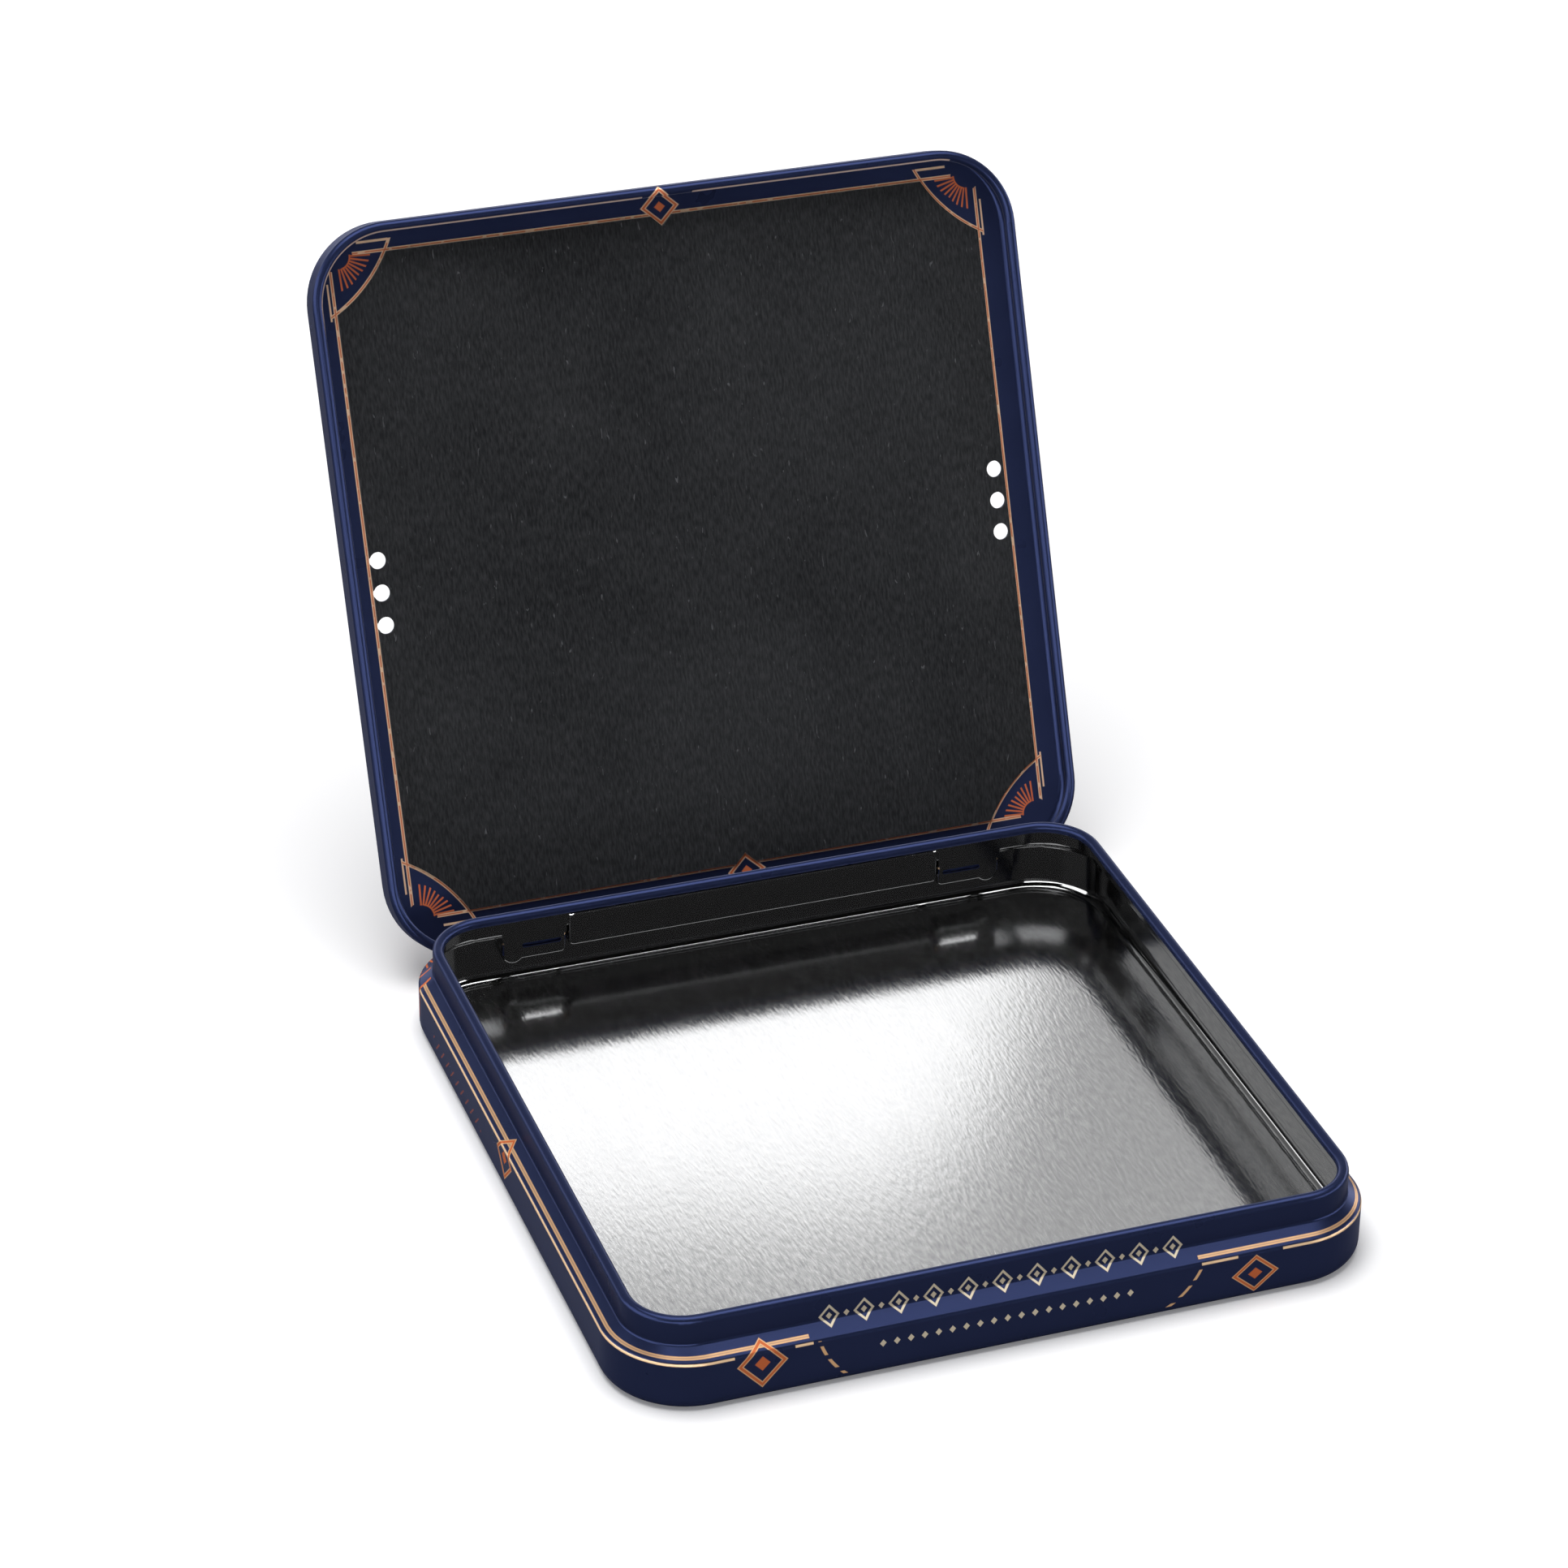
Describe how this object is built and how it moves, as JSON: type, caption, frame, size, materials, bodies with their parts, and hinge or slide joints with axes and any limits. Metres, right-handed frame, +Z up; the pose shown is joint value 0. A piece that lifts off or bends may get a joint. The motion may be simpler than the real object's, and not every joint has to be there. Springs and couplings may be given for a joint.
{
  "type": "hinged card tin",
  "caption": "Shallow square tinplate box with rounded corners, a stepped neck and a hinged cap lid lined with black card, for storing cards.",
  "frame": {"origin": "middle of the base's flat underside", "axes": "+X along the front to the right as seen from the front, +Y back to the hinges, +Z up"},
  "size_m": [0.1402, 0.1993, 0.1351],
  "materials": {
    "printed_tinplate": "navy satin printing ink under clear varnish, with fine copper line ornament",
    "bare_tinplate": "bare tin coating with a fine rolled grain, half glossy",
    "black_card": "black paperboard, matt, with a fine fibre grain",
    "steel_wire": "drawn bright steel wire"
  },
  "bodies": {
    "base": {"base_tray": "printed_tinplate", "hinge_pin_left": "steel_wire", "hinge_pin_right": "steel_wire"},
    "lid": {"lid_shell": "printed_tinplate", "lid_liner": "black_card"}
  },
  "joints": [
    {"name": "lid_hinge", "type": "hinge", "parent": "base", "child": "lid", "pos_m": [0, 0.0683, 0.0085], "axis": [1, 0, 0], "range_deg": [0, 112.5]}
  ]
}
